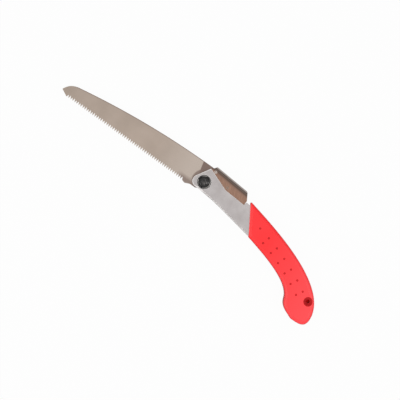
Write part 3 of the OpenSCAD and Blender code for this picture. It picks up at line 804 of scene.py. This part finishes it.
def turned_cutter(profile, place, side, steps):
    """A cutter turned from a profile of (radius, depth below the face), standing on one face of the grip."""
    bm = bmesh.new()
    verts = [bm.verts.new((radius, 0, HALF_GRIP - depth)) for radius, depth in profile]
    edges = [bm.edges.new(pair) for pair in zip(verts, verts[1:])]
    bmesh.ops.spin(
        bm, geom=verts + edges, cent=(0, 0, 0), axis=(0, 0, 1), angle=math.tau, steps=steps, use_merge=True
    )
    bmesh.ops.remove_doubles(bm, verts=bm.verts, dist=0.001)
    bmesh.ops.recalc_face_normals(bm, faces=bm.faces)
    if side < 0:
        bmesh.ops.rotate(bm, verts=bm.verts, cent=(0, 0, 0), matrix=Matrix.Rotation(math.pi, 3, "X"))
    bmesh.ops.translate(bm, verts=bm.verts, vec=(place.x, place.y, MID_Z))
    return bm


def prism(points, low_z, high_z):
    """A straight-sided cutter with the given outline."""
    bm = bmesh.new()
    face = bm.faces.new([bm.verts.new((x, y, low_z)) for x, y in points])
    raised = bmesh.ops.extrude_face_region(bm, geom=[face])
    verts = [g for g in raised["geom"] if isinstance(g, bmesh.types.BMVert)]
    bmesh.ops.translate(bm, verts=verts, vec=(0, 0, high_z - low_z))
    bmesh.ops.recalc_face_normals(bm, faces=bm.faces)
    return bm


def joined(parts):
    """One bmesh of several, which don't touch each other."""
    whole = bmesh.new()
    for part in parts:
        mesh = bpy.data.meshes.new("part")
        part.to_mesh(mesh)
        part.free()
        whole.from_mesh(mesh)
        bpy.data.meshes.remove(mesh)
    return whole


def keep_modified(piece):
    """Makes what a piece's modifiers give its own mesh."""
    bpy.context.view_layer.update()
    result = bpy.data.meshes.new_from_object(piece.evaluated_get(bpy.context.evaluated_depsgraph_get()))
    piece.modifiers.clear()
    old, piece.data = piece.data, result
    bpy.data.meshes.remove(old)


def cut_away(piece, cutter_bm, material):
    """Takes a cutter out of a piece; the new faces get the given material slot."""
    for face in cutter_bm.faces:
        face.material_index = material
    cutter = finish_mesh("cutter", cutter_bm, list(piece.data.materials))
    modifier = piece.modifiers.new("cut", "BOOLEAN")
    modifier.operation = "DIFFERENCE"
    modifier.solver = "EXACT"
    modifier.object = cutter
    keep_modified(piece)
    used = cutter.data
    bpy.data.objects.remove(cutter)
    bpy.data.meshes.remove(used)


def slot_corners():
    """The space for the folded blade, turned from where it lies on the open blade."""
    back = -TOOTH_LINE - SLOT_CLEAR
    end = TIP.x - SLOT_CLEAR
    open_shape = (
        [(SLOT_FRONT_X, back), (LAST_TOOTH_X, back), (end, TIP.y - 0.6)]
        + [(end, TIP.y + 3), (end, PAST_BACK_Y), (SLOT_FRONT_X, PAST_BACK_Y)]
    )
    turn = Matrix.Rotation(FOLD_ANGLE, 2)
    return [tuple(turn @ Vector(p)) for p in open_shape]


def make_grip():
    """The grip: two halves joined, cut at the front, slotted for the blade, dimpled and pierced."""
    bm, base = half_grip()
    # The halves stand twice SEAM apart, each closed by a flat face, where the mould has its parting line. The
    # copied face was to be drawn in to join them, but its ring goes away from the middle and stays open.
    bmesh.ops.inset_region(
        bm, faces=[base], thickness=SEAM, depth=SEAM, use_even_offset=True, use_boundary=True
    )
    bmesh.ops.delete(bm, geom=[base], context="FACES")
    bmesh.ops.mirror(
        bm,
        geom=bm.verts[:] + bm.edges[:] + bm.faces[:],
        matrix=Matrix.Translation((0, 0, -MID_Z)),
        merge_dist=0.01,
        axis="Z",
    )
    bmesh.ops.remove_doubles(bm, verts=bm.verts, dist=0.001)
    bmesh.ops.recalc_face_normals(bm, faces=bm.faces)
    cut_front(bm)
    piece = finish_mesh("moulded_grip", bm, [grip_red, dimple_shade_red])
    cut_away(piece, prism(slot_corners(), MID_Z - SLOT_HALF, MID_Z + SLOT_HALF), 0)
    dimples = [turned_cutter(DIMPLE, p, side, 20) for p in dimple_places() for side in (1, -1)]
    cut_away(piece, joined(dimples), 1)
    for side in (1, -1):
        cut_away(piece, turned_cutter(HANG_FUNNEL, HANG_AT, side, 64), 1)
    # The broad faces set the shading of the corners beside them, so that they look flat.
    shading = piece.modifiers.new("shading", "WEIGHTED_NORMAL")
    shading.keep_sharp = True
    keep_modified(piece)
    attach(piece, "handle")
    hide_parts("grip")


make_grip()


# ---- Lever spring ----

END_TURN = 0.5


def make_lever_spring():
    """The spring as packed, with its foot on the core."""
    foot, top = (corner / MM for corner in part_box("lever_spring"))
    middle = (foot + top) / 2
    bm = bmesh.new()
    bm.from_mesh(nodes["lever_spring"].data)
    bmesh.ops.scale(bm, vec=(1 / MM, 1 / MM, 1 / MM), verts=bm.verts)
    bmesh.ops.remove_doubles(bm, verts=bm.verts, dist=0.001)
    piece = finish_mesh("coiled_lever_spring", bm, [spring_metal])
    ends = (Vector((middle.x, y, middle.z)) * MM for y in (foot.y + END_TURN, top.y - END_TURN))
    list(ends)
    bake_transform(piece)
    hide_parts("lever_spring")


make_lever_spring()


# ---- Floor and light ----

PAPER_GLOW = 0.97
RED_SPOT_R = (3, 6)
FLOOR_SIZE = 6
FLOOR_DROP = 0.05
WORLD_LIGHT = 1.05
SAW_FRONT = (30, -20, 10)
SAW_GRIP = (80, -20, 10)


def white_paper():
    """Matt seamless paper: the camera, gloss and glass see it white, and it keeps the saw's soft shadow."""
    material, tree, where = start_material("white_paper")
    seen = seen_plainly(tree, add(tree, "LightPath"))
    # Painted shade: under the hang hole, where the paper is in deep shade, its glow is a dark red, for the red
    # light that the hole's wall sends down.
    lit = add(
        tree,
        "MapRange",
        {"From Min": RED_SPOT_R[0] * MM, "From Max": RED_SPOT_R[1] * MM},
        {"Value": distance_from(tree, where, HANG_AT)},
    )
    light = add(
        tree,
        "Mix",
        {"data_type": "RGBA", 6: linear("#8F0A08"), 7: (1, 1, 1, 1)},
        {0: lit.outputs["Result"]},
    )
    share = add(tree, "Math", {"operation": "MULTIPLY", 1: PAPER_GLOW}, {0: seen})
    fibres = add(tree, "TexNoise", {"Scale": 1 / (3 * MM), "Detail": 2}, {"Vector": where})
    tint = add(
        tree, "ValToRGB", {"stops": [(0.3, "#B2B2B1"), (0.7, "#B6B6B5")]}, {"Fac": fibres.outputs["Fac"]}
    )
    paper = add(tree, "BsdfDiffuse", None, {"Color": tint.outputs["Color"]})
    glow = add(tree, "Emission", {"Strength": 1.0}, {"Color": light.outputs[2]})
    mixed = add(
        tree,
        "MixShader",
        None,
        {0: share.outputs["Value"], 1: paper.outputs["BSDF"], 2: glow.outputs["Emission"]},
    )
    add(tree, "OutputMaterial", None, {"Surface": mixed.outputs["Shader"]})
    return material


def make_floor():
    """A sheet of paper just under the saw."""
    bm = bmesh.new()
    bmesh.ops.create_grid(bm, x_segments=1, y_segments=1, size=FLOOR_SIZE / 2 / MM)
    bmesh.ops.translate(bm, verts=bm.verts, vec=(0, 0, -FLOOR_DROP))
    floor = finish_mesh("floor", bm, [white_paper()])


def make_world():
    """A studio: gloss sees white walls and a darker top round a pale panel; soft light is from overhead."""
    world = bpy.data.worlds.new("studio")
    bpy.context.scene.world = world
    world.use_nodes = True
    tree = world.node_tree
    tree.nodes.clear()
    path = add(tree, "LightPath")
    height = add(tree, "SeparateXYZ", None, {"Vector": add(tree, "TexCoord").outputs["Generated"]})
    tent = add(
        tree,
        "ValToRGB",
        {
            "stops": [(0.0, "#FFFFFF"), (0.5, "#FFFFFF"), (0.74, "#8C8A89")]
            + [(0.9, "#9A9897"), (0.985, "#F4F3F3")]
        },
        {"Fac": height.outputs["Z"]},
    )
    soft = add(
        tree, "ValToRGB", {"stops": [(0.0, "#4A4A4A"), (1.0, "#FFFFFF")]}, {"Fac": height.outputs["Z"]}
    )
    reflected = add(
        tree,
        "Mix",
        {"data_type": "RGBA"},
        {0: path.outputs["Is Glossy Ray"], 6: soft.outputs["Color"], 7: tent.outputs["Color"]},
    )
    colour = add(
        tree,
        "Mix",
        {"data_type": "RGBA", 7: (1, 1, 1, 1)},
        {0: path.outputs["Is Camera Ray"], 6: reflected.outputs[2]},
    )
    strength = add(
        tree, "MapRange", {"To Min": WORLD_LIGHT, "To Max": 1.0}, {"Value": seen_plainly(tree, path)}
    )
    background = add(
        tree, "Background", None, {"Color": colour.outputs[2], "Strength": strength.outputs["Result"]}
    )
    add(tree, "OutputWorld", None, {"Surface": background.outputs["Background"]})


def make_lamp(name, place, target, size, power):
    """A round soft lamp at a place, aimed at a target."""
    data = bpy.data.lights.new(name, "AREA")
    data.shape = "DISK"
    data.size = size * MM
    data.energy = power
    lamp = bpy.data.objects.new(name, data)
    bpy.context.scene.collection.objects.link(lamp)
    away = (Vector(place) - Vector(target)).normalized()
    turn = away.to_track_quat("Z", "Y").to_matrix().to_4x4()
    lamp.matrix_world = Matrix.Translation(Vector(place) * MM) @ turn


make_floor()
make_world()
make_lamp("key", (-500, -750, 1000), SAW_FRONT, size=600, power=6)
make_lamp("fill", (800, 350, 1100), SAW_GRIP, size=600, power=4)

scene_view = bpy.context.scene.view_settings
scene_view.view_transform = "Standard"
